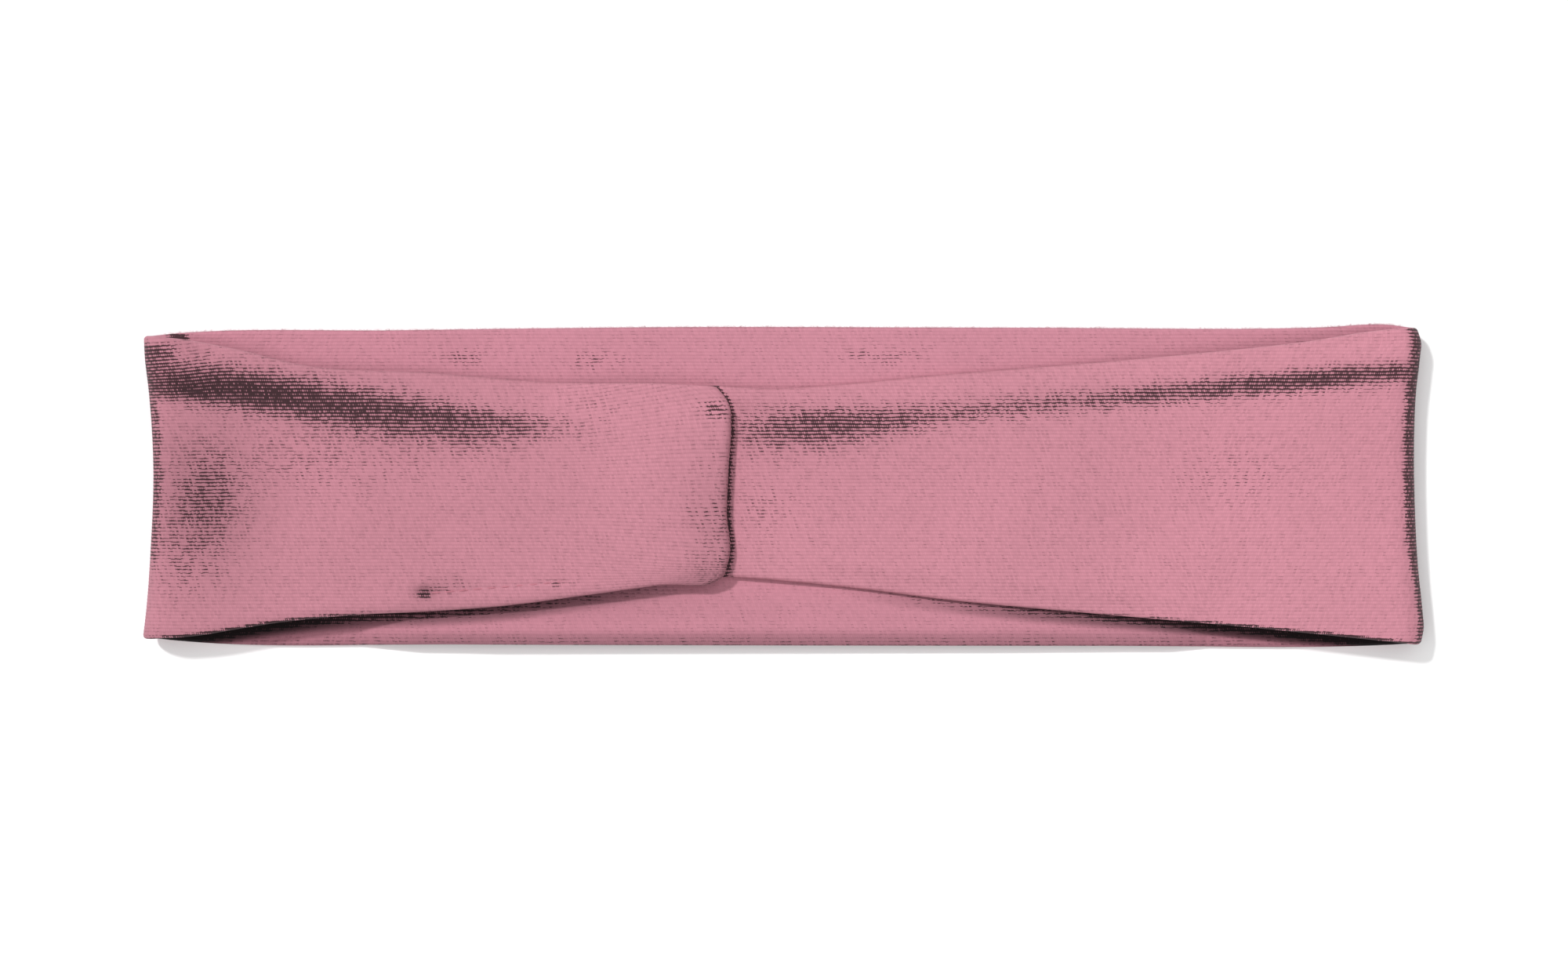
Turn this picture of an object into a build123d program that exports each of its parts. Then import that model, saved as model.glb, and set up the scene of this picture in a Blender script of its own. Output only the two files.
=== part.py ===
from build123d import *
from math import cos, pi, sin
import os

# Sports headband: a closed loop of two-layer knit, lying flat with its front on top.
# +X runs along the loop, +Y across its width, +Z up; the origin is the middle of its underside.
# Each half of the loop is three stretches, so that the flat loop opens into a six-sided ring.
# The front is narrower than the back, and is joined under a tuck just left of the middle.

# --- driving dimensions, mm ---
LOOP_LENGTH = 240.8        # flat loop, side fold to side fold
STRIP_WIDTH = 60.8         # back of the band
LAYER = 0.8                # one layer of knit
LOOP_HEIGHT = 9.2          # stacked height at the side folds
BEND_X = 40.0              # where the middle stretches end
LEFT_BEND_TOP = 7.6        # height of the front at its left bend
RIGHT_BEND_TOP = 5.6       # height of the front at its right bend, where the hinge lies on its top
JOINT_GAP = 0.3            # clear space between two stretches that turn
LEAN = 0.6                 # how far an end under its hinge leans back, per mm of depth
TUCK_TOP = 7.4             # top of the tuck
TUCK_SLIT = 0.4            # space inside the tuck's fold
TUCK_FOLD_X = -9.8         # visible edge of the tuck
TUCK_LEVEL_X = -24.0       # where the front becomes level before the tuck
SEAM_X = -20.0             # joining seam, hidden under the tuck
SEAM_CLEAR = 0.2           # between the tuck and the stretch that it covers
COVERED_END_X = -8.0       # where the covered stretch starts to climb
SEAM_INSET = 3.0           # edge seams, in from the edges
STITCH_LENGTH = 2.0
THREAD_WIDTH = 0.4
THREAD_HEIGHT = 0.2
STITCH_PITCH = 2.6
END_MARGIN = 2.0           # edge seams stop this far short of a stretch's ends
GAP_SEAM = (-67.0, -41.5)  # the hand-closed turning gap, along the front's lower edge
SEAM_REACH = 15.0          # half the length of the joining seam

os.makedirs("parts", exist_ok=True)

panel = 2 * LAYER
half_length = LOOP_LENGTH / 2
half_width = STRIP_WIDTH / 2
fold_radius = (LOOP_HEIGHT - JOINT_GAP) / 2
fold_centre = half_length - fold_radius
bend_start = BEND_X + JOINT_GAP / 2
bend_end = BEND_X - JOINT_GAP / 2
covered_top = TUCK_TOP - 2 * panel - TUCK_SLIT - SEAM_CLEAR

# Edges of the three flat outlines, from left to right.
back_upper = [(-half_length, 28.6), (-106, half_width), (106, half_width), (half_length, 28.6)]
back_lower = [(x, -y) for x, y in back_upper]
left_upper = [(-half_length, 28.2), (-92, 23.0), (-40, 19.4), (TUCK_FOLD_X, 18.0)]
left_lower = [(-half_length, -28.9), (-92, -26.0), (-40, -21.2), (TUCK_FOLD_X, -18.6)]
right_upper = [(SEAM_X, 16.4), (30, 20.8), (70, 24.0), (half_length, 29.2)]
right_lower = [(SEAM_X, -17.0), (30, -21.5), (88, -26.7), (half_length, -29.9)]

# Outer face of each stretch from the side, as (x, z) points that start at a bend.
back_mid_face = [(-bend_end, 0), (bend_end, 0)]
back_left_face = [(-bend_start, 0), (-fold_centre, 0)]
back_right_face = [(bend_start, 0), (fold_centre, 0)]
front_left_face = [(-bend_start, LEFT_BEND_TOP), (-fold_centre, LOOP_HEIGHT)]
front_right_face = [(bend_start, RIGHT_BEND_TOP), (fold_centre, LOOP_HEIGHT)]
front_mid_left_face = [(-bend_end, LEFT_BEND_TOP), (TUCK_LEVEL_X, TUCK_TOP)]
front_mid_right_face = [(bend_end, RIGHT_BEND_TOP), (COVERED_END_X, covered_top), (SEAM_X, covered_top)]

# The way from an outer face into the loop: up from the back, down from the front.
FROM_BACK = 1
FROM_FRONT = -1

# --- outlines in plan ---
with BuildSketch() as back_plan:
    with BuildLine():
        Polyline(*back_upper, *reversed(back_lower), close=True)
    make_face()


def curved_plan(upper, lower):
    """Outline in plan between two gently curved edges, with straight ends."""
    with BuildSketch() as plan:
        with BuildLine():
            Spline(*upper)
            Line(upper[-1], lower[-1])
            Spline(*reversed(lower))
            Line(lower[0], upper[0])
        make_face()
    return plan


front_left_plan = curved_plan(left_upper, left_lower)
front_right_plan = curved_plan(right_upper, right_lower)


def save(piece, label):
    """Name a finished piece and write its STEP file."""
    piece.part.label = label
    export_step(piece.part, f"parts/{label}.step")


def extrude_over(plan, cuts):
    """Extrude the pending side profile across the band, keep what lies over the outline, and sink the seams."""
    extrude(amount=STRIP_WIDTH, both=True)
    extrude(plan.sketch, amount=2 * LOOP_HEIGHT, both=True, mode=Mode.INTERSECT)
    for row in cuts:
        add(row, mode=Mode.SUBTRACT)


def face_at(face, depth, inward, lean):
    """An outer face's points carried into the band by depth; its bend end leans back from the hinge."""
    (bend_x, bend_z), *others = face
    next_x, next_z = others[0]
    back_off = lean * depth if next_x > bend_x else -lean * depth
    climb = back_off * (next_z - bend_z) / (next_x - bend_x)
    return [(bend_x + back_off, bend_z + climb + inward * depth)] + [(x, z + inward * depth) for x, z in others]


def flat_stretch(label, face, inward, depth, plan, cuts, lean=0):
    """One layer of a stretch with no fold, its outer side at the given depth under the face."""
    with BuildPart() as piece:
        with BuildSketch(Plane.XZ):
            with BuildLine():
                outer_side = face_at(face, depth, inward, lean)
                inner_side = face_at(face, depth + LAYER, inward, lean)
                Polyline(*outer_side, *reversed(inner_side), close=True)
            make_face()
        extrude_over(plan, cuts)
    save(piece, label)


def side_stretch(label, face, inward, depth, plan, cuts, lean=0):
    """One layer of a stretch that ends in a side fold: flat, then a quarter turn to mid height."""
    side = 1 if face[-1][0] > 0 else -1
    level = fold_radius if inward == FROM_BACK else LOOP_HEIGHT - fold_radius

    def on_fold(radius, angle):
        return (side * (fold_centre + radius * sin(angle)), level - inward * radius * cos(angle))

    outside = fold_radius - depth
    inside = outside - LAYER
    with BuildPart() as piece:
        with BuildSketch(Plane.XZ):
            with BuildLine():
                outer_side = Polyline(*face_at(face, depth, inward, lean))
                ThreePointArc(on_fold(outside, 0), on_fold(outside, pi / 4), on_fold(outside, pi / 2))
                Line(on_fold(outside, pi / 2), on_fold(inside, pi / 2))
                ThreePointArc(on_fold(inside, pi / 2), on_fold(inside, pi / 4), on_fold(inside, 0))
                inner_side = Polyline(*reversed(face_at(face, depth + LAYER, inward, lean)))
                Line(inner_side @ 1, outer_side @ 0)
            make_face()
        extrude_over(plan, cuts)
    save(piece, label)


def tucked_stretch(label, face, depth, cuts):
    """One layer of the front's left middle stretch, whose end turns under in a tight fold."""
    outside = panel + TUCK_SLIT / 2 - depth
    inside = outside - LAYER
    centre_x = TUCK_FOLD_X - panel - TUCK_SLIT / 2
    centre_z = TUCK_TOP - panel - TUCK_SLIT / 2

    def on_fold(x, height):
        return (x, centre_z + height)

    with BuildPart() as piece:
        with BuildSketch(Plane.XZ):
            with BuildLine():
                outer_side = Polyline(*face_at(face, depth, FROM_FRONT, 0), on_fold(centre_x, outside))
                ThreePointArc(on_fold(centre_x, outside), on_fold(centre_x + outside, 0),
                              on_fold(centre_x, -outside))
                Polyline(on_fold(centre_x, -outside), on_fold(SEAM_X, -outside),
                         on_fold(SEAM_X, -inside), on_fold(centre_x, -inside))
                ThreePointArc(on_fold(centre_x, -inside), on_fold(centre_x + inside, 0),
                              on_fold(centre_x, inside))
                inner_side = Polyline(on_fold(centre_x, inside),
                                      *reversed(face_at(face, depth + LAYER, FROM_FRONT, 0)))
                Line(inner_side @ 1, outer_side @ 0)
            make_face()
        extrude_over(front_left_plan, cuts)
    save(piece, label)


# --- edge seams: stitches between the two layers, sunk into the lining ---
def height_at(points, x):
    """Second coordinate of a line of points at x, straight between two neighbours."""
    ordered = sorted(points)
    for (x0, y0), (x1, y1) in zip(ordered, ordered[1:]):
        if x0 <= x <= x1:
            return y0 + (y1 - y0) * (x - x0) / (x1 - x0)
    raise ValueError("x is outside the points")


def stitch_row(label, start, end, away):
    """A row of stitches on a flat face, from start to end, standing out along away."""
    run = end - start
    count = int((run.length - STITCH_LENGTH) / STITCH_PITCH) + 1
    first = (run.length - (count - 1) * STITCH_PITCH) / 2
    with BuildPart() as row:
        with BuildSketch(Plane(origin=start, x_dir=run, z_dir=away)):
            with Locations(*[(first + i * STITCH_PITCH, 0) for i in range(count)]):
                SlotOverall(STITCH_LENGTH, THREAD_WIDTH)
        extrude(amount=THREAD_HEIGHT)
    save(row, label)
    return row.part


def edge_seams(name, face, inward, upper, lower):
    """Upper and lower edge seams of one stretch, between its layers, along the face's first run."""
    (x0, z0), (x1, z1) = sorted(face[:2])
    first_x = x0 + END_MARGIN
    last_x = x1 - END_MARGIN
    away = Vector(z0 - z1, 0, x1 - x0) * inward
    rows = []
    for seam, edge, inset in (("upper_seam", upper, -SEAM_INSET), ("lower_seam", lower, SEAM_INSET)):
        start, end = [Vector(x, height_at(edge, x) + inset, height_at(face[:2], x) + inward * LAYER)
                      for x in (first_x, last_x)]
        rows.append(stitch_row(f"{seam}_{name}", start, end, away))
    return rows


stretches = {
    "back_mid": (back_mid_face, FROM_BACK, back_upper, back_lower),
    "back_left": (back_left_face, FROM_BACK, back_upper, back_lower),
    "back_right": (back_right_face, FROM_BACK, back_upper, back_lower),
    "front_left": (front_left_face, FROM_FRONT, left_upper, left_lower),
    "front_right": (front_right_face, FROM_FRONT, right_upper, right_lower),
    "front_mid_left": (front_mid_left_face, FROM_FRONT, left_upper, left_lower),
    "front_mid_right": (front_mid_right_face, FROM_FRONT, right_upper, right_lower),
}
seams = {name: edge_seams(name, *facts) for name, facts in stretches.items()}


# --- knit layers: the outer knit faces out of the loop, the lining faces into it ---
for layer, layer_depth in (("outer", 0), ("lining", LAYER)):
    cuts = seams if layer == "lining" else dict.fromkeys(stretches, ())
    flat_stretch(f"{layer}_back_mid", back_mid_face, FROM_BACK, layer_depth, back_plan, cuts["back_mid"])
    side_stretch(f"{layer}_back_left", back_left_face, FROM_BACK, layer_depth, back_plan, cuts["back_left"])
    side_stretch(f"{layer}_back_right", back_right_face, FROM_BACK, layer_depth, back_plan,
                 cuts["back_right"])
    side_stretch(f"{layer}_front_left", front_left_face, FROM_FRONT, layer_depth, front_left_plan,
                 cuts["front_left"])
    side_stretch(f"{layer}_front_right", front_right_face, FROM_FRONT, layer_depth, front_right_plan,
                 cuts["front_right"], LEAN)
    flat_stretch(f"{layer}_front_mid_right", front_mid_right_face, FROM_FRONT, layer_depth,
                 front_right_plan, cuts["front_mid_right"], LEAN)
    tucked_stretch(f"{layer}_front_mid_left", front_mid_left_face, layer_depth, cuts["front_mid_left"])

# The turning gap's hand stitches lie on the outer face, along the front's lower edge.
gap_start, gap_end = [Vector(x, height_at(left_lower, x) + SEAM_INSET, height_at(front_left_face, x))
                      for x in GAP_SEAM]
gap_climb = LOOP_HEIGHT - LEFT_BEND_TOP
stitch_row("turning_gap_stitches", gap_start, gap_end, Vector(gap_climb, 0, fold_centre - bend_start))

# The joining seam wraps the raw ends of the two front stretches, one above the other.
seam_bottom = covered_top - panel + THREAD_WIDTH
seam_top = TUCK_TOP - panel - TUCK_SLIT - THREAD_WIDTH
seam_count = int(2 * SEAM_REACH / STITCH_PITCH) + 1
with BuildPart() as joining_seam:
    with BuildSketch(Plane.YZ.offset(SEAM_X)):
        with Locations((0, (seam_bottom + seam_top) / 2)):
            with GridLocations(STITCH_PITCH, 1, seam_count, 1):
                SlotOverall(seam_top - seam_bottom, THREAD_WIDTH, rotation=90)
    extrude(amount=-THREAD_HEIGHT)
save(joining_seam, "joining_seam_thread")
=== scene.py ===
"""Sports headband: one closed loop of two-layer dusty-pink knit, lying flat with its front on top.

The loop's side view is one long line: flat on the floor, half a turn at each side, and a front that climbs
from the middle to the side folds. Every stretch of cloth carries that line across the band's width: a point
is the line's point, moved inward by its depth in the cloth, plus a low relief that changes along and across
the band. Near an edge the depth follows a quarter circle, so that the two layers meet in a rounded rim.
Knit rows are ridges at an even pitch across the width. Lengths are in millimetres until a mesh is made.
"""
import bpy
import numpy as np
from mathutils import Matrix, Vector


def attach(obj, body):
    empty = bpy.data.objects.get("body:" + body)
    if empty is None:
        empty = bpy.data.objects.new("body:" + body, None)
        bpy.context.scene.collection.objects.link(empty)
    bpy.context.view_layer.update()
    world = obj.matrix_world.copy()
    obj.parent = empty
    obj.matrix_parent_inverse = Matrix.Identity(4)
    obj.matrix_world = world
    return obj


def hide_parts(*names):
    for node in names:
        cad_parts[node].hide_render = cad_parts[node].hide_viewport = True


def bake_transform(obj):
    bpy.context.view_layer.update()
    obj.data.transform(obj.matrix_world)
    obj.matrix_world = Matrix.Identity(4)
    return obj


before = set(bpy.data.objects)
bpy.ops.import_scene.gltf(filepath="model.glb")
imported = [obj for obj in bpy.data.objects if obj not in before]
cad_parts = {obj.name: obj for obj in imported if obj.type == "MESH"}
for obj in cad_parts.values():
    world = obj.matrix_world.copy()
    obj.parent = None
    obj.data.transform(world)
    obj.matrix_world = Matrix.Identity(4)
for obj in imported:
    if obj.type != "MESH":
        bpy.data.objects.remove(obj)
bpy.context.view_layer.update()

# --- Studio: camera, floor and light ---
# A pale seamless tabletop seen from straight above, through a long lens.
# A soft key lamp stands beyond the band's upper left and an even white fill comes from all round.
MM = 0.001
SENSOR = 36.0
LENS = 90.0
VIEW_WIDTH = 295.0
AIM = Vector((0.15, -0.9, 4.6))
TO_KEY_LIGHT = Vector((-0.44, 0.40, 0.80))
scene = bpy.context.scene
scene.view_settings.view_transform = "Standard"


def to_linear(hex_colour):
    """An sRGB hex colour as linear red, green, blue and alpha."""
    srgb = np.array([int(hex_colour[i:i + 2], 16) for i in (1, 3, 5)]) / 255
    linear = np.where(srgb <= 0.04045, srgb / 12.92, ((srgb + 0.055) / 1.055) ** 2.4)
    return (*linear, 1.0)


def add_node(tree, kind, settings, sockets):
    """A new node: settings are its own properties, sockets take either a constant or another output."""
    node = tree.nodes.new(kind)
    for name, value in settings.items():
        setattr(node, name, value)
    for name, value in sockets.items():
        if isinstance(value, bpy.types.NodeSocket):
            tree.links.new(value, node.inputs[name])
        else:
            node.inputs[name].default_value = value
    return node


camera = bpy.data.objects.new("camera", bpy.data.cameras.new("camera"))
camera.data.lens = LENS
camera.data.sensor_width = SENSOR
camera.location = (AIM + Vector((0, 0, VIEW_WIDTH * LENS / SENSOR))) * MM
scene.collection.objects.link(camera)
scene.camera = camera

key_light = bpy.data.objects.new("key_light", bpy.data.lights.new("key_light", "SUN"))
key_light.data.energy = 1.9
key_light.data.angle = np.radians(5)
key_light.rotation_mode = "QUATERNION"
key_light.rotation_quaternion = TO_KEY_LIGHT.to_track_quat("Z", "Y")
scene.collection.objects.link(key_light)

scene.world = bpy.data.worlds.new("fill_light")
scene.world.use_nodes = True
fill = scene.world.node_tree.nodes["Background"]
fill.inputs["Color"].default_value = to_linear("#FFFFFF")
fill.inputs["Strength"].default_value = 0.46

# A square softbox overhead reaches into open folds but not under the cloth's edges.
softbox = bpy.data.objects.new("softbox", bpy.data.lights.new("softbox", "AREA"))
softbox.data.size = 1.2
softbox.data.energy = 6.0
softbox.location = (0, 0, 1.0)
softbox.visible_camera = False
scene.collection.objects.link(softbox)

# Matt white paper: flat and bright, so that only the band's shadow shows on it.
paper = bpy.data.materials.new("white_paper")
paper.use_nodes = True
paper_finish = paper.node_tree.nodes["Principled BSDF"]
paper_finish.inputs["Base Color"].default_value = to_linear("#F6F6F6")
paper_finish.inputs["Roughness"].default_value = 0.9
paper_finish.inputs["Specular IOR Level"].default_value = 0.1
floor_mesh = bpy.data.meshes.new("floor")
floor_mesh.from_pydata([(-2, -2, 0), (2, -2, 0), (2, 2, 0), (-2, 2, 0)], [], [(0, 1, 2, 3)])
floor_mesh.materials.append(paper)
floor = bpy.data.objects.new("floor", floor_mesh)
scene.collection.objects.link(floor)

# --- Outer knit and lining: the yarns ---
# Both layers are fine weft knit in dusty-pink polyester and cotton, with rows along the band.
# The outer layer is smooth interlock; the lining is the same knit, brushed soft on its face.
ROW = 0.65
STITCH = 0.41
SLANT = 0.45


def knit_material(name, colour, row_contrast, grain, relief_height):
    """Knit seen close: rows of slanted stitches, with painted shade as dark gaps between the stitches."""
    material = bpy.data.materials.new(name)
    material.use_nodes = True
    tree = material.node_tree

    def maths(operation, first, second=0.0, third=0.0):
        """The result of one arithmetic step on up to three values."""
        node = add_node(tree, "ShaderNodeMath", {"operation": operation}, {0: first, 1: second, 2: third})
        return node.outputs[0]

    def wave(turns):
        """0 at whole turns and 1 half way between."""
        return maths("MULTIPLY_ADD", maths("COSINE", maths("MULTIPLY", turns, 2 * np.pi)), -0.5, 0.5)

    place = add_node(tree, "ShaderNodeUVMap", {"uv_map": "knit"}, {}).outputs[0]
    split = add_node(tree, "ShaderNodeSeparateXYZ", {}, {0: place})
    along, across = split.outputs[0], split.outputs[1]
    # Rows wander a little, as real yarn does: 0.1 mm over about 8 mm.
    wander = add_node(tree, "ShaderNodeTexNoise", {}, {"Vector": place, "Scale": 0.12, "Detail": 1.0})
    rows = maths("DIVIDE", maths("MULTIPLY_ADD", wander.outputs[0], 0.35, across), ROW)
    row_number = maths("FLOOR", rows)
    row_share = maths("FRACT", rows)
    # Each stitch leans across its row, and every second row starts half a stitch later.
    lean = maths("MULTIPLY_ADD", row_share, SLANT, maths("MULTIPLY", row_number, 0.5))
    stitches = maths("ADD", maths("DIVIDE", along, STITCH), lean)
    stitch_number = maths("FLOOR", stitches)
    cell = add_node(tree, "ShaderNodeCombineXYZ", {}, {0: stitch_number, 1: row_number})
    chance = add_node(tree, "ShaderNodeTexWhiteNoise", {"noise_dimensions": "2D"},
                      {"Vector": cell.outputs[0]}).outputs["Value"]
    row_crest = wave(row_share)
    stitch_crest = wave(stitches)
    crest = maths("MULTIPLY", maths("MULTIPLY_ADD", stitch_crest, 0.55, 0.45), row_crest)
    # The painted shade breaks into clumps of dark stitches about 3 mm across.
    clumps = add_node(tree, "ShaderNodeTexNoise", {}, {"Vector": place, "Scale": 0.33, "Detail": 3.0})
    gaps_and_painted_shade = add_node(tree, "ShaderNodeAttribute", {"attribute_name": "gaps_and_painted_shade"}, {}).outputs["Fac"]
    patchy = maths("MULTIPLY", gaps_and_painted_shade, maths("MULTIPLY_ADD", clumps.outputs[0], 0.5, 0.78))
    filled = maths("MULTIPLY_ADD", crest, 0.78, maths("MULTIPLY", chance, 0.46))
    gap = add_node(tree, "ShaderNodeMapRange", {}, {
        "Value": maths("SUBTRACT", patchy, filled), "From Min": -0.10, "From Max": 0.06}).outputs[0]
    # The tone drifts over some 25 mm of cloth, and from stitch to stitch.
    drift = add_node(tree, "ShaderNodeTexNoise", {}, {"Vector": place, "Scale": 0.04, "Detail": 3.0})
    tone = maths("MULTIPLY_ADD", drift.outputs[0], 0.16, 0.92)
    tone = maths("MULTIPLY", tone, maths("MULTIPLY_ADD", chance, grain, 1 - grain / 2))
    # Painted shade: the grooves between rows are a little darker than the crests.
    tone = maths("MULTIPLY", tone, maths("MULTIPLY_ADD", crest, row_contrast, 1 - row_contrast * 0.4))
    # Painted shade: cloth that turns from the lamp, or lies close under an edge, is darkened evenly.
    painted_shading = add_node(tree, "ShaderNodeAttribute", {"attribute_name": "painted_shading"}, {}).outputs["Fac"]
    tone = maths("MULTIPLY", tone, maths("SUBTRACT", 1.0, painted_shading))
    lit = add_node(tree, "ShaderNodeVectorMath", {"operation": "SCALE"},
                   {0: to_linear(colour)[:3], "Scale": tone}).outputs[0]
    # The shaded gaps are painted at 0.13 of the lit colour.
    shaded_gap_colour = add_node(tree, "ShaderNodeVectorMath", {"operation": "SCALE"}, {0: lit, "Scale": 0.13}).outputs[0]
    paint = add_node(tree, "ShaderNodeMix", {"data_type": "RGBA"},
                     {"Factor": gap, 6: lit, 7: shaded_gap_colour}).outputs[2]
    bump = add_node(tree, "ShaderNodeBump", {}, {
        "Strength": 0.6, "Distance": relief_height * MM, "Height": crest}).outputs[0]
    finish = tree.nodes["Principled BSDF"]
    tree.links.new(paint, finish.inputs["Base Color"])
    tree.links.new(bump, finish.inputs["Normal"])
    finish.inputs["Roughness"].default_value = 0.85
    finish.inputs["IOR"].default_value = 1.5
    finish.inputs["Specular IOR Level"].default_value = 0.2
    finish.inputs["Sheen Weight"].default_value = 0.08
    return material


# Smooth interlock of dyed polyester and cotton: matt, with the clear rows of a fine machine knit.
outer_knit = knit_material("outer_knit", "#B27784", 0.13, 0.12, 0.05)
# The same yarn, brushed: rows are softer, and the face is a touch paler, partly from brushing and partly as
# painted light against the shade near the front's upper edge.
lining_knit = knit_material("lining_knit", "#B47886", 0.10, 0.10, 0.03)


# --- Side folds: where the loop turns over at its left and right ends ---
# The two layers turn over together in a soft half tube, pressed flat but not creased.
# Outer knit and lining are separate sheets, sewn along their edges with the seam turned inside.
LAYER = 0.8
PANEL = 2 * LAYER
TURN_RADIUS = 4.6
TURN_X = 115.95
SPLIT_X = 80.0
RIDGE = 0.018
GRID_ROW = 0.13
HOLLOW_FACE = 0.08
HIDDEN_INSET = 0.2
HIDDEN_COUNT = 24
TUCK_SIDE_X = -9.4
BEND_BOTTOM = 1.7

back_upper = [(-121, 28.2), (-114, 28.8), (-74, 29.3), (-22, 29.9), (44, 29.8), (103, 29.9), (115, 30.4),
              (121, 29.8)]
back_lower = [(-121, -28.8), (-112, -29.6), (-60, -30.0), (0, -30.2), (60, -30.3), (112, -30.3), (121, -29.9)]
left_upper = [(-121, 28.0), (-114, 27.5), (-103, 25.6), (-91, 22.7), (-66, 21.1), (-44, 19.4), (-22, 19.1),
              (-9, 18.6)]
left_lower = [(-121, -28.9), (-110, -28.2), (-102, -26.9), (-95, -25.8), (-87, -24.9), (-80, -24.3),
              (-67, -23.7), (-52, -22.6), (-35, -20.4), (-22, -18.8), (-9, -18.9)]
right_upper = [(-20, 17.6), (-15, 18.7), (-9, 18.5), (-2, 18.2), (7, 18.7), (30, 20.8), (66, 23.7),
               (96, 26.7), (116, 29.3), (121, 29.4)]
right_lower = [(-20, -17.0), (-9, -17.4), (15, -19.6), (30, -21.5), (59, -24.2), (88, -26.7), (103, -28.2),
               (121, -30.0)]
left_height = [(-TURN_X, 9.2), (-80, 8.45), (-40, 7.6), (-24, 7.4), (-9, 7.4)]
right_height = [(-20, 3.6), (-8, 3.6), (10, 4.25), (40, 5.6), (80, 7.5), (TURN_X, 9.2)]


def ease(value, start, end):
    """0 before start, 1 after end, and three times the square less twice the cube between them."""
    share = np.clip((value - start) / (end - start), 0, 1)
    return share * share * (3 - 2 * share)


def through(points, x):
    """A smooth curve through a few (x, value) points: a cubic between each two, with its slope at a point
    taken from the points beside it, and level beyond both ends.
    """
    knots, values = np.array(points, float).T
    slopes = np.gradient(values, knots)
    i = np.clip(np.searchsorted(knots, x) - 1, 0, len(knots) - 2)
    run = knots[i + 1] - knots[i]
    t = np.clip((x - knots[i]) / run, 0, 1)
    start = (1 + 2 * t) * (1 - t) ** 2 * values[i] + t * (1 - t) ** 2 * run * slopes[i]
    end = t * t * (3 - 2 * t) * values[i + 1] + t * t * (t - 1) * run * slopes[i + 1]
    return start + end


def stroke(x, y, centre, strength, above, below):
    """A long soft mark that fades as a bell curve to each side of its centre line. The centre, strength
    and widths above and below are each a list of (x, value) points along the band.
    """
    off = y - through(centre, x)
    width = np.where(off > 0, np.interp(x, *np.array(above, float).T),
                     np.interp(x, *np.array(below, float).T))
    return np.interp(x, *np.array(strength, float).T) * np.exp(-(1.5 * off / width) ** 2)


def spot(x, y, at, size):
    """A soft oval mark round one place: a bell curve of the distance, each axis divided by its size."""
    return np.exp(-((x - at[0]) / size[0]) ** 2 - ((y - at[1]) / size[1]) ** 2)


left_crease = [(-119, 18.3), (-109, 18.2), (-96, 17.0), (-81, 14.9), (-66, 12.8), (-59, 12.0), (-44, 11),
               (-36, 10.8)]
right_crease = [(-7, 10), (0, 10.8), (18, 12), (44, 14.8), (74, 17.5), (103, 20.2), (118, 21.4)]


def painted_crease_shade(x, y):
    """How much painted shade lies in the creases: a stroke along each of the two creases under the front's
    upper edge, the greater of the two at each place.
    """
    left = stroke(x, y, left_crease,
                  [(-121, 0.55), (-116, 0.8), (-112, 1.05), (-96, 1.0), (-81, 0.86), (-59, 0.72), (-50, 0.55),
                   (-44, 0.35), (-36, 0.08), (-30, 0)],
                  [(-121, 9.0), (-112, 7.2), (-81, 6.0), (-59, 4.8), (-44, 3.2)],
                  [(-119, 3.4), (-96, 6.2), (-81, 8.4), (-59, 7.6), (-44, 4.4)])
    right = stroke(x, y, right_crease,
                   [(-9.6, 0), (-9, 0.2), (-7, 0.4), (0, 0.62), (7, 0.72), (18, 0.64), (30, 0.48), (44, 0.42),
                    (59, 0.50), (88, 0.78), (103, 0.88), (120, 0.76)],
                   [(-7, 5.6), (7, 5.2), (29, 3.5), (120, 3.0)],
                   [(-7, 7.0), (7, 6.6), (20, 5.2), (29, 4.2), (59, 3.6), (118, 3.4)])
    return np.maximum(left, right)


def front_gaps_and_shade(x, y):
    """How dark the front's stitch gaps are painted, mostly as shade: the greatest at each place of the
    creases, the soft patches, the tuck's end, the sewn gap and the lower lips.
    """
    creases = 0.84 * painted_crease_shade(x, y)
    patch = 0.44 * spot(x, y, (-107.5, -2), (7, 10)) + 0.18 * spot(x, y, (-112, -14), (6, 8))
    scatter = 0.16 * spot(x, y, (-88, 6), (22, 7)) + 0.12 * spot(x, y, (-35, 14), (5, 3))
    faint = 0.11 * spot(x, y, (84, 2), (10, 6)) + 0.14 * spot(x, y, (-3, -5), (6, 5))
    tuck = (0.46 * spot(x, y, (-12.4, 14.2), (2.6, 1.9))
            + 0.17 * ease(x, -22, -12) * (x < TUCK_SIDE_X) * ease(-y, -14, 8))
    gap = 0.8 * spot(x, y, (-67.2, -20.3), (1.2, 0.9)) + 0.2 * spot(x, y, (-63, -18.8), (4, 1.3))
    gap_end = 0.26 * spot(x, y, (-42, -18.2), (2.6, 0.8))
    left_lip = (ease(through(left_lower, x) + 0.9 - y, 0, 0.8)
                * np.interp(x, [-119, -112, -88, -72], [0.3, 1, 0.7, 0]))
    right_lip = (ease(through(right_lower, x) + 0.9 - y, 0, 0.8)
                 * np.interp(x, [50, 88, 112, 119], [0, 0.7, 1, 0.4]))
    lip = np.where(x < TUCK_SIDE_X, left_lip, right_lip)
    return np.maximum.reduce([creases, patch, scatter, faint, tuck, gap, gap_end, lip])


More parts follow.
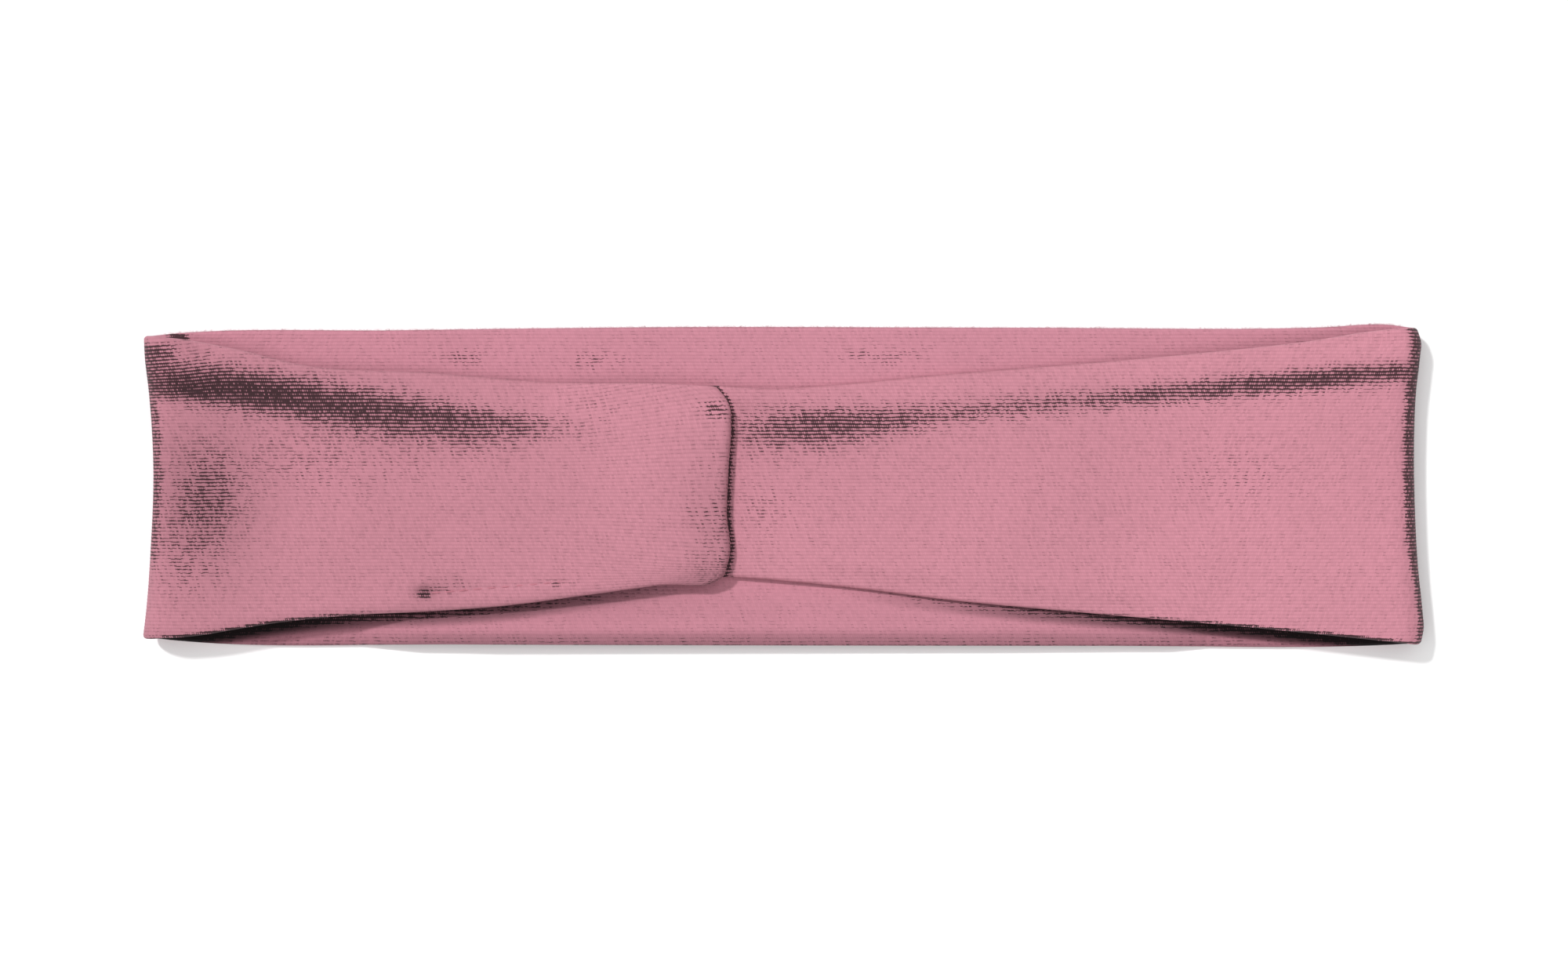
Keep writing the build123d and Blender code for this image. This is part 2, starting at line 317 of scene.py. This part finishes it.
def turn_gaps_and_shade(side, run, y):
    """Dark gaps where the cloth turns over at a side: dashes on the left, and a band of painted shade on the
    right.
    """
    if side > 0:
        reach = 2.6 + 1.2 * ease(y, -22, -6)
        return 0.78 * (1 - ease(run, reach, reach + 2.4))
    dashes = 0.50 * (1 - ease(run, 3.2, 6.2)) * ease(y, -20, -10) * (1 - ease(y, 15, 18))
    rows = 0.66 * (1 - ease(run, 5.5, 12.0)) * ease(y, 15, 19) * (1 - ease(y, 25.5, 27.5))
    return dashes + rows


def shade_under(x, y, edge, reach):
    """1 under the front's lower edge, fading out within a reach below it as the gap to the back opens."""
    below = through(edge, x) - y
    return (1 - ease(below, 0.4 * reach, reach)) * ease(below, -1.8, -0.8)


def back_gaps_and_shade(x, y):
    """How dark the back's stitch gaps are painted: a few specks, and painted shade in the opening at the top
    left corner, along the lower rim and in the strip close under the front's lower edge; the greatest of them
    at each place.
    """
    specks = 0.24 * (spot(x, y, (-60, 24), (4, 1.6)) + spot(x, y, (-35, 23.6), (5, 1.6))
                     + spot(x, y, (18, 24.3), (7, 1.6)))
    corner = 1.5 * spot(x, y, (-114.4, 27.8), (1.7, 0.8))
    under_left = shade_under(x, y, left_lower, 2.0) * np.interp(x, [-116, -80, -50, -14], [1.2, 0.7, 0.3, 0])
    under_right = shade_under(x, y, right_lower, 2.0) * np.interp(x, [10, 45, 80, 116], [0, 0.3, 0.7, 1.2])
    return np.maximum.reduce([specks, corner, 0.12 * ease(-y, 27.6, 29.9), under_left, under_right])


def front_painted_shading(x, y):
    """How much shade is painted on the front, as a sum of soft spots and ramps: over its left end, beside the
    tuck, along its lower rim, at the gap's dimple and in the creases. Its right third is painted a little
    lighter.
    """
    left_end = (0.16 * spot(x, y, (-110, -2), (13, 16)) + 0.13 * spot(x, y, (-108, -4), (8, 12))
                + 0.05 * ease(-x, 30, 60))
    tuck = 0.17 * ease(x, -21, -11) * (x < TUCK_SIDE_X) * ease(-y, -16, 6)
    pouch = 0.14 * spot(x, y, (-15, -17.5), (6, 2.2))
    rim = 0.12 * ease(-y, -through(left_lower, x) - 2.5, -through(left_lower, x)) * (x < TUCK_SIDE_X)
    dimple = 0.3 * spot(x, y, (-67, -20), (2.2, 1.6)) + 0.1 * spot(x, y, (-62, -18.5), (5, 2))
    return left_end + tuck + pouch + rim + dimple + 0.26 * painted_crease_shade(x, y) - 0.05 * ease(x, 50, 90)


def back_painted_shading(x, y):
    """How much shade is painted on the back: a ramp along its lower rim, or the deep shade close under the
    front's lower edge, whichever is greater. The shade is strongest at the sides.
    """
    rim = 0.26 * ease(-y, 26.3, 30) + 0.07 * ease(-y, 18, 26)
    left = (shade_under(x, y, left_lower, 3.8)
            * np.interp(x, [-116, -92, -76, -50, -14], [0.93, 0.9, 0.6, 0.6, 0]))
    right = shade_under(x, y, right_lower, 3.5) * np.interp(x, [10, 45, 80, 116], [0, 0.55, 0.8, 0.93])
    return np.maximum(rim, np.maximum(left, right))


def front_relief(x, y, upper, lower):
    """Height of the front above its plain line: a hollow along each crease and a swell above it, both
    bell curves, with slow wavy dents, less the droop of the upper and lower edges.
    """
    left = np.interp(x, [-118, -105, -60, -34], [0.4, 1, 0.7, 0]) * (x < -30)
    right = np.interp(x, [-8, 4, 60, 118], [0, 0.8, 0.6, 0.7]) * (x > -9)
    off = np.where(x < -20, y - through(left_crease, x), y - through(right_crease, x))
    crease = (left + right) * (0.38 * np.exp(-((off - 4.2) / 2.6) ** 2)
                               - 0.42 * np.exp(-((off + 0.2) / 2.2) ** 2))
    dents = (0.10 * np.sin(0.07 * x + 1.0 + 0.05 * y) * np.sin(0.16 * y + 0.7)
             + 0.06 * np.sin(0.19 * x - 0.1 * y) * np.sin(0.23 * y + 0.08 * x))
    droop = -0.75 * ease(x, -4, 14) * (1 - ease(x, 58, 84)) * ease(-y, -lower - 5, -lower)
    upper_drop = np.interp(x, [-118, -108, -80, -60, -44, -27, -20, -8, 10, 40, 60, 80, 112],
                           [0, 2.7, 2.7, 3.6, 3.4, 0.4, 0, 0.3, 0.95, 2.2, 2.2, 1.8, 2.3])
    droop = droop - upper_drop * ease(y, upper - 12, upper + 1)
    inside = ease(np.minimum(upper - y, y - lower), 0, 3)
    return (crease + dents) * inside + droop


def gap_line(x):
    """Where the turning gap runs: a straight line that climbs 0.085 mm for each mm along the band."""
    return -20.3 + (x + 67) * 0.085


def gap_relief(x, y):
    """The hand-closed turning gap: a shallow channel along its line, puckered at the stitches' pitch,
    with a dimple at each end.
    """
    line = gap_line(x)
    on_line = ease(x, -68.5, -66) * (1 - ease(x, -42, -40))
    channel = -0.16 * np.exp(-((y - line) / 0.55) ** 2) * on_line * (0.7 + 0.3 * np.cos(2 * np.pi * x / 2.6))
    dimple = -0.75 * spot(x, y, (-67.2, -20.2), (1.1, 0.9)) + 0.3 * spot(x, y, (-67.5, -18.4), (2.4, 1.0))
    pucker = 0.12 * spot(x, y, (-65, -22), (3, 1.6)) * np.sin(2.2 * (x + y))
    return channel + dimple + pucker - 0.3 * spot(x, y, (-41.3, -18.2), (0.9, 0.7))


def row_place(x, y):
    """Which knit row a place on the front lies in, as a height across the band: its own y, less a lift
    that grows towards the tuck and fans the rows, and raised a little at the top left corner.
    """
    near = ease(x, -44, -11) * (x < -9)
    lift = through([(-19, 1.6), (-15.5, -0.9), (-10, -0.9), (-3, 0), (5, 0.9), (12, 2.2), (19, 3.4)], y)
    corner = 1.3 * ease(-x, 104, 119) * spot(0, y, (0, 24), (1, 7))
    return y - near * lift + corner


def across_band(lower, upper):
    """Places across the band for each step along it: even knit spacing, closer at the rounded rims."""
    rim = np.array([0, 0.01, 0.04, 0.09, 0.16])
    count = int((upper - lower).max() / GRID_ROW)
    share = np.linspace(0, 1, count)[1:-1]
    first, last = lower + rim[-1], upper - rim[-1]
    middle = first[:, None] + (last - first)[:, None] * share
    return np.hstack([lower[:, None] + rim, middle, upper[:, None] - rim[::-1]])


def add_piece(name, corners, material, places, gaps_and_painted_shade, painted_shading):
    """A closed mesh from rings of points, one ring per step along the piece, capped at both ends."""
    steps, size = corners.shape[:2]
    ring = np.arange(size)
    here = np.arange(steps - 1)[:, None] * size
    quads = np.stack([here + ring, here + (ring + 1) % size, here + size + (ring + 1) % size,
                      here + size + ring], axis=-1).reshape(-1, 4)
    points = corners.reshape(-1, 3) * MM
    a, b, c, d = (points[quads[:, i]] for i in range(4))
    volume = np.einsum("ij,ij->", a, np.cross(b, c)) + np.einsum("ij,ij->", a, np.cross(c, d))
    first_cap, last_cap = ring[::-1], ring + (steps - 1) * size
    if volume < 0:
        quads, first_cap, last_cap = quads[:, ::-1], first_cap[::-1], last_cap[::-1]
    loops = np.concatenate([quads.ravel(), first_cap, last_cap])
    starts = np.concatenate([np.arange(len(quads)) * 4, len(quads) * 4 + np.array([0, size])])
    mesh = bpy.data.meshes.new(name)
    mesh.vertices.add(len(points))
    mesh.vertices.foreach_set("co", points.astype(np.float32).ravel())
    mesh.loops.add(len(loops))
    mesh.loops.foreach_set("vertex_index", loops.astype(np.int32))
    mesh.polygons.add(len(starts))
    mesh.polygons.foreach_set("loop_start", starts.astype(np.int32))
    mesh.update(calc_edges=True)
    smooth = np.ones(len(starts), bool)
    smooth[-2:] = False
    mesh.polygons.foreach_set("use_smooth", smooth)
    ends = np.empty(2 * len(mesh.edges), np.int32)
    mesh.edges.foreach_get("vertices", ends)
    ring_number = ends.reshape(-1, 2) // size
    in_first_ring = np.all(ring_number == 0, axis=1)
    in_last_ring = np.all(ring_number == steps - 1, axis=1)
    mesh.edges.foreach_set("use_edge_sharp", in_first_ring | in_last_ring)
    uv = mesh.uv_layers.new(name="knit")
    uv.data.foreach_set("uv", places.reshape(-1, 2)[loops].astype(np.float32).ravel())
    for attribute_name, values in (("gaps_and_painted_shade", gaps_and_painted_shade), ("painted_shading", painted_shading)):
        attribute = mesh.attributes.new(attribute_name, "FLOAT", "POINT")
        attribute.data.foreach_set("value", values.ravel().astype(np.float32))
    mesh.materials.append(material)
    piece = bpy.data.objects.new(name, mesh)
    scene.collection.objects.link(piece)
    return piece


def outward(stretch):
    """Directions out of the loop along a stretch's line: its tangent, a quarter turn round."""
    tangent = np.gradient(stretch["line"], stretch["run"], axis=0)
    tangent /= np.linalg.norm(tangent, axis=1)[:, None]
    return stretch["turn"] * np.stack([-tangent[:, 1], tangent[:, 0]], axis=1)


def placed(stretch, y, depth):
    """Points of a stretch at places across the band and depths in the cloth: one row of them per step."""
    out = outward(stretch)
    x_flat = stretch["line"][:, :1] + 0 * y
    x = x_flat - out[:, :1] * depth
    z = stretch["line"][:, 1:] - out[:, 1:] * depth
    run = stretch["run"][:, None] + 0 * y
    low, high = stretch["lower"][:, None] + 0 * y, stretch["upper"][:, None] + 0 * y
    return np.stack(stretch["shape"](x, y, z, run, x_flat, low, high), axis=-1)


def cloth(layer, stretch):
    """One layer of a stretch: a face with knit ridges and rounded rims, and a plain hidden face."""
    run, lower, upper = stretch["run"], stretch["lower"], stretch["upper"]
    y_face = across_band(lower, upper)
    y_hidden = np.linspace(upper - HIDDEN_INSET, lower + HIDDEN_INSET, HIDDEN_COUNT, axis=1)
    edge = np.minimum(y_face - lower[:, None], upper[:, None] - y_face)
    rim = np.clip(LAYER - edge, 0, LAYER)
    rounding = LAYER - np.sqrt(LAYER ** 2 - rim ** 2)
    run_face = run[:, None] + 0 * y_face
    x_face = stretch["line"][:, :1] + 0 * y_face
    ridges = RIDGE * np.cos(2 * np.pi * stretch["rows"](x_face, y_face, run_face) / ROW) * ease(edge, 0, 0.6)
    if layer == "outer":
        depth = np.hstack([rounding - ridges, np.full(y_hidden.shape, LAYER - HOLLOW_FACE)])
    else:
        depth = np.hstack([PANEL - rounding + ridges, np.full(y_hidden.shape, LAYER + HOLLOW_FACE)])
    y = np.hstack([y_face, y_hidden])
    points = placed(stretch, y, depth)
    run_all = run[:, None] + 0 * y
    x_all = stretch["line"][:, :1] + 0 * y
    places = np.stack([run_all, stretch["rows"](x_all, y, run_all)], axis=-1)
    faces_up = stretch["front"] if layer == "outer" else ~stretch["front"]
    gaps_and_painted_shade = stretch["gaps_and_painted_shade"](points[..., 0], y, run_all) * faces_up[:, None]
    painted_shading = stretch["painted_shading"](points[..., 0], y) * faces_up[:, None]
    material = outer_knit if layer == "outer" else lining_knit
    piece = add_piece(f"{layer}_{stretch['name']}", points, material, places, gaps_and_painted_shade, painted_shading)
    return piece


def join_layers(stretch):
    """Both layers of a stretch, each standing for its two bodies' nodes, which it hides."""
    for layer in ("outer", "lining"):
        piece = cloth(layer, stretch)
        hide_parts(*[f"{layer}_{body}" for body in stretch["bodies"]])
        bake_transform(piece)


def fold_line(side, height):
    """The side view of a side fold: in along the floor, half a turn, and back along the front."""
    quarter = TURN_RADIUS * np.pi / 2
    reach = quarter + TURN_X - SPLIT_X
    flat = np.linspace(quarter, reach, 38)[1:]
    run = np.concatenate([-flat[::-1], np.linspace(-quarter, quarter, 37), flat])
    angle = np.clip(run, -quarter, quarter) / TURN_RADIUS
    from_turn = np.clip(np.abs(run) - quarter, 0, None)
    x = side * (TURN_X - from_turn + TURN_RADIUS * np.cos(angle))
    z = TURN_RADIUS + TURN_RADIUS * np.sin(angle)
    z = np.where(run > quarter, through(height, x), z)
    return np.stack([x, z], axis=1), run, quarter


stretches = []
for side, name, height, front_upper, front_lower, inset_points, bend_top in (
        (-1, "left", left_height, left_upper, left_lower,
         [(-29, 0.1), (-25, 0.6), (-12, 1.6), (3, 2.1), (18, 1.2), (24, 0.5), (28, 0.3)], 4.3),
        (1, "right", right_height, right_upper, right_lower,
         [(-29.6, 0.6), (-26.7, 0.1), (-24, 0.3), (-15, 1.2), (-3, 1.8), (9, 1.9), (18, 1.5), (24, 0.8),
          (27, 0.6), (29, 1.2)], 4.2)):
    line, run, quarter = fold_line(side, height)
    x_line = line[:, 0]
    front_share = ease(run, -quarter, quarter)
    upper = through(back_upper, x_line) * (1 - front_share) + through(front_upper, x_line) * front_share
    lower = through(back_lower, x_line) * (1 - front_share) + through(front_lower, x_line) * front_share

    def shape(x, y, z, run, x_flat, low, high, side=side, inset_points=inset_points, quarter=quarter):
        """Draws the side's edge in by its inset near the turn, and lifts the front by its relief."""
        near_turn = ease(np.abs(x_flat), 96, TURN_X + 2)
        lift = front_relief(x_flat, y, high, low) * ease(run, 0, quarter + 2) * ease(np.abs(x_flat), 119, 112)
        return x - side * through(inset_points, y) * near_turn, y, z + lift

    def gaps_and_shade_at(x, y, run, side=side, quarter=quarter):
        """The front's or the turn's painted gaps and shade on the way up, whichever is greater, and the
        back's below.
        """
        front = np.maximum(front_gaps_and_shade(x, y), turn_gaps_and_shade(side, run, y))
        return np.where(run > -quarter * 0.4, front, back_gaps_and_shade(x, y))

    def rows_at(x, y, run):
        """The front's fanned rows past the turn, and straight ones before it."""
        return np.where(run > 0, row_place(x, y), y)

    def painted_shading_at(x, y, run=run):
        """The front's painted shade past the turn, and the back's before it."""
        return np.where(run[:, None] > -3, front_painted_shading(x, y), back_painted_shading(x, y))

    stretch = {"name": f"{name}_fold", "line": line, "run": run, "turn": -side, "lower": lower,
               "upper": upper, "shape": shape, "gaps_and_painted_shade": gaps_and_shade_at, "rows": rows_at, "painted_shading": painted_shading_at,
               "bodies": (f"back_{name}", f"front_{name}"), "front": run > -3,
               "bend": ((side * 0.12, 0, BEND_BOTTOM * MM), (side * 0.12, 0, bend_top * MM))}
    join_layers(stretch)
    stretches.append(stretch)

# --- Back: the wide half of the loop, flat on the table ---
# It lies with its outer knit down, so the lining's brushed face shows above and below the front.
# Two stretches meet unseen in the middle, under the front.
BEND_OUTER = 0.058
BEND_INNER = 0.039
for side, name in ((-1, "left"), (1, "right")):
    x_line = np.linspace(min(0, side * SPLIT_X), max(0, side * SPLIT_X), 90)

    def shape(x, y, z, run, x_flat, low, high):
        """Lifts the lower rim off the table by its own height along the band, and rolls it back a little."""
        edge_height = np.interp(x_flat, [-80, -70, -56, -20, 40, 72, 80], [0, 3.6, 4.4, 3.8, 3.0, 2.2, 0])
        rim_lift = edge_height * (ease(-y, 18, 27.5) - 0.28 * ease(-y, 27.5, 30.2))
        return x, y, z + rim_lift

    stretch = {"name": f"back_{name}_bend", "line": np.stack([x_line, 0 * x_line], axis=1), "run": x_line,
               "turn": -1, "lower": through(back_lower, x_line), "upper": through(back_upper, x_line),
               "shape": shape, "gaps_and_painted_shade": lambda x, y, run: back_gaps_and_shade(x, y), "rows": lambda x, y, run: y,
               "painted_shading": back_painted_shading,
               "bodies": (f"back_{name}", "back_mid"),
               "front": np.zeros(len(x_line), bool),
               "bend": ((side * BEND_OUTER, 0, 0), (side * BEND_INNER, 0, 0))}
    join_layers(stretch)
    stretches.append(stretch)

# --- Front left: the narrower front, up to its tuck ---
# The cloth runs in from the left fold and turns under in a soft vertical tuck left of the middle.
# Its raw end lies hidden under the tuck, where it is sewn to the front's right half.
TUCK_TURN_X = -11.6
TUCK_RADIUS = 1.8
TUCK_END_X = -20.0
TUCK_REST = 3.7
top_x = np.concatenate([np.linspace(-SPLIT_X, -26, 62), np.linspace(-25.6, TUCK_TURN_X, 36)])
top_z = through(left_height, top_x)
turn_angle = np.linspace(np.pi / 2, -np.pi / 2, 19)[1:]
tail_x = np.linspace(TUCK_TURN_X, TUCK_END_X, 12)[1:]
tuck_centre = top_z[-1] - TUCK_RADIUS
line_x = np.concatenate([top_x, TUCK_TURN_X + TUCK_RADIUS * np.cos(turn_angle), tail_x])
line_z = np.concatenate([top_z, tuck_centre + TUCK_RADIUS * np.sin(turn_angle),
                         np.full(len(tail_x), tuck_centre - TUCK_RADIUS)])
line = np.stack([line_x, line_z], axis=1)
tuck_run = -SPLIT_X + np.concatenate([[0], np.cumsum(np.linalg.norm(np.diff(line, axis=0), axis=1))])
turn_run = tuck_run[len(top_x) - 1]
tuck_edge = [(-19, -4.6), (-17.6, -2.0), (-14.9, -0.7), (-4.6, -0.8), (4, -0.4), (11.7, 0.0), (14.6, -0.2),
             (15.9, -0.7), (17.4, -1.8), (19.5, -3.6)]


def tuck_bow(y):
    """How far the tuck's edge bows out at each place across the band: a smooth curve through its points."""
    return through(tuck_edge, y)


def tuck_shape(x, y, z, run, x_flat, low, high):
    """Moves the cloth out by the tuck's bow and squeezes its height towards the tuck's resting height,
    most at the tuck's two corners. The creases' relief and the sewn gap's channel are added before it.
    """
    under = run > turn_run
    near = np.where(under, 1, ease(x_flat, -27, TUCK_TURN_X))
    squeeze = 0.07 + 0.30 * ease(y, 11, 18.5) + 0.24 * ease(-y, 13, 19)
    close = np.where(under, 1, ease(x_flat, -36, TUCK_TURN_X - 1))
    swell = 0.8 * spot(x_flat, y, (-24, 0), (7, 14))
    fading = 1 - ease(x_flat, -22, TUCK_TURN_X)
    lift = np.where(under, 0, (front_relief(x_flat, y, high, low) + gap_relief(x_flat, y)) * fading + swell)
    return x + tuck_bow(y) * near, y, TUCK_REST + (z - TUCK_REST) * (1 - squeeze * close) + lift


# The hidden tail is cut 1.2 mm narrower at each edge, so that it never shows past the tuck.
tail_inset = 1.2 * ease(tuck_run, turn_run + 2.5, turn_run + 7)
stretch = {"name": "front_left_bend", "line": line, "run": tuck_run, "turn": 1,
           "lower": through(left_lower, line_x) + tail_inset,
           "upper": through(left_upper, line_x) - tail_inset,
           "shape": tuck_shape, "gaps_and_painted_shade": lambda x, y, run: front_gaps_and_shade(x, y),
           "rows": lambda x, y, run: row_place(x, y), "painted_shading": front_painted_shading,
           "bodies": ("front_left", "front_mid_left"), "front": np.ones(len(line), bool),
           "bend": ((-BEND_OUTER, 0, 0), (-BEND_INNER, 0, 0))}
join_layers(stretch)
stretches.append(stretch)

# --- Front right: from under the tuck out to the right fold ---
# The same two layers, starting narrow at the hidden joining seam and widening to the right.
line_x = np.concatenate([np.linspace(TUCK_END_X, -4, 24), np.linspace(-3.2, SPLIT_X, 90)])
line_z = through(right_height, line_x)


def right_shape(x, y, z, run, x_flat, low, high):
    """Adds the right half's relief, and a rise beside the top of the tuck, so that the tuck dies out."""
    rise = 0.9 * ease(y, 12.5, 17) * ease(x_flat, -14, -11) * (1 - ease(x_flat, -8, 10))
    return x, y, z + rise + front_relief(x_flat, y, high, low) * (x_flat > TUCK_TURN_X)


def right_gaps_and_shade(x, y, run):
    """The front's painted gaps to the right of the tuck, or a narrow line of painted shade along the tuck's
    edge.
    """
    tuck_shade_line = 0.95 * np.exp(-((x + 9.8 - tuck_bow(y)) / 0.6) ** 2)
    return np.maximum(front_gaps_and_shade(x, y) * (x > -10), tuck_shade_line)


stretch = {"name": "front_right_bend", "line": np.stack([line_x, line_z], axis=1), "run": line_x, "turn": 1,
           "lower": through(right_lower, line_x), "upper": through(right_upper, line_x),
           "shape": right_shape, "gaps_and_painted_shade": right_gaps_and_shade,
           "rows": lambda x, y, run: y, "painted_shading": front_painted_shading,
           "bodies": ("front_mid_right", "front_right"), "front": np.ones(len(line_x), bool),
           "bend": ((BEND_INNER, 0, 0), (BEND_OUTER, 0, 0))}
join_layers(stretch)
stretches.append(stretch)

# --- Sewing threads: edge seams, turning gap and joining seam ---
# Spun polyester thread in the band's own pink, 0.3 mm thick.
# The edge seams run between the layers; the turning gap was closed by hand with small sunk stitches.
THREAD_RADIUS = 0.15
STITCH_PITCH = 2.6
SEAM_INSET = 3.0
SEAM_WEAVE = 0.2
GAP_WEAVE = 0.13
JOIN_WEAVE = 1.2
JOIN_HEIGHT = 3.7
JOIN_REACH = 15
thread_pink = knit_material("sewing_thread", "#B06F7C", 0.1, 0.05, 0.02)


def thread(name, path, across, nodes):
    """A thin closed six-sided tube: a ring round each point of the path, in the plane square to it.
    The direction across is one that the path never takes.
    """
    tangent = np.gradient(path, axis=0)
    tangent /= np.linalg.norm(tangent, axis=1)[:, None]
    first = np.cross(tangent, across)
    first /= np.linalg.norm(first, axis=1)[:, None]
    second = np.cross(tangent, first)
    angle = np.linspace(0, 2 * np.pi, 7)[:-1]
    corners = path[:, None] + THREAD_RADIUS * (first[:, None] * np.cos(angle)[:, None]
                                               + second[:, None] * np.sin(angle)[:, None])
    piece = add_piece(name, corners, thread_pink, corners[..., :2], np.zeros(corners.shape[:2]),
                      np.zeros(corners.shape[:2]))
    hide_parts(*nodes)
    return piece


for stretch in stretches:
    for seam, inset in (("upper_seam", -SEAM_INSET), ("lower_seam", SEAM_INSET)):
        edge = stretch["upper"] if inset < 0 else stretch["lower"]
        weave = LAYER + SEAM_WEAVE * np.cos(2 * np.pi * stretch["run"] / STITCH_PITCH)
        path = placed(stretch, (edge + inset)[:, None], weave[:, None])[:, 0]
        piece = thread(f"{seam}_{stretch['name']}", path, (0, 1, 0),
                       [f"{seam}_{body}" for body in stretch["bodies"]])
        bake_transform(piece)

gap_x = np.linspace(-66.6, -42, 120)
gap_y = gap_line(gap_x)
gap_z = (through(left_height, gap_x) + gap_relief(gap_x, gap_y)
         + GAP_WEAVE * np.cos(2 * np.pi * gap_x / STITCH_PITCH))
gap_path = np.stack([gap_x, gap_y, gap_z - 0.10], axis=1)
gap_thread = thread("turning_gap_thread", gap_path, (0, 1, 0), ["turning_gap_stitches"])
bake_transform(gap_thread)

join_y = np.linspace(-JOIN_REACH, JOIN_REACH, 200)
join_path = np.stack([np.full(len(join_y), TUCK_END_X - 0.5), join_y,
                      JOIN_HEIGHT + JOIN_WEAVE * np.cos(2 * np.pi * join_y / STITCH_PITCH)], axis=1)
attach(thread("joining_seam_thread_tube", join_path, (1, 0, 0), ["joining_seam_thread"]), "front_mid_left")

# --- Brushed fibres: the lining's nap along the back's upper edge ---
# Brushing lifts single polyester fibres, under a millimetre long, which stand past the edge.
# They are fine curved hairs of the lining's own yarn, rooted in its rim.
FIBRE_RADIUS = 0.025
FIBRES_PER_MM = 9
chance = np.random.default_rng(7)
for stretch in stretches[:4]:
    on_back = ~stretch["front"]
    rim = placed(stretch, stretch["upper"][:, None] - 0.1, np.full((len(stretch["run"]), 1), 1.1))[on_back, 0]
    reach = np.concatenate([[0], np.cumsum(np.linalg.norm(np.diff(rim, axis=0), axis=1))])
    count = int(reach[-1] * FIBRES_PER_MM)
    at = chance.uniform(0, reach[-1], count)
    root = np.stack([np.interp(at, reach, rim[:, i]) for i in range(3)], axis=1)
    root[:, 2] += chance.uniform(-0.4, 0.3, count)
    length = chance.uniform(0.15, 0.75, count)[:, None]
    lean = np.stack([chance.normal(0, 0.7, count), np.ones(count), chance.normal(0, 0.35, count)], axis=1)
    curl = np.stack([chance.normal(0, 0.5, count), -0.3 * np.ones(count),
                     chance.normal(0, 0.3, count)], axis=1)
    share = np.linspace(0, 1, 4)[:, None, None]
    spine = root + length * (lean * share + curl * share ** 2)
    spine[..., 2] = np.clip(spine[..., 2], FIBRE_RADIUS, PANEL)
    corner_turn = np.array([0, 2 * np.pi / 3, 4 * np.pi / 3])
    around = FIBRE_RADIUS * np.stack([np.cos(corner_turn), 0 * corner_turn, np.sin(corner_turn)], axis=1)
    points = spine.transpose(1, 0, 2)[:, :, None] + around * (1 - 0.6 * share.reshape(1, 4, 1, 1))
    first = 12 * np.arange(count)[:, None]
    ring = np.arange(3)
    steps = 3 * np.arange(3)[:, None]
    sides = np.stack([steps + ring, steps + 3 + ring, steps + 3 + (ring + 1) % 3, steps + (ring + 1) % 3],
                     axis=-1).reshape(-1, 4)
    faces = (first[:, None] + sides).reshape(-1, 4).tolist() + (first + np.array([0, 1, 2])).tolist() \
        + (first + np.array([11, 10, 9])).tolist()
    mesh = bpy.data.meshes.new(f"fibres_{stretch['name']}")
    mesh.from_pydata((points.reshape(-1, 3) * MM).tolist(), [], faces)
    mesh.uv_layers.new(name="knit")
    mesh.materials.append(lining_knit)
    fibres = bpy.data.objects.new(f"fibres_{stretch['name']}", mesh)
    scene.collection.objects.link(fibres)
    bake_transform(fibres)
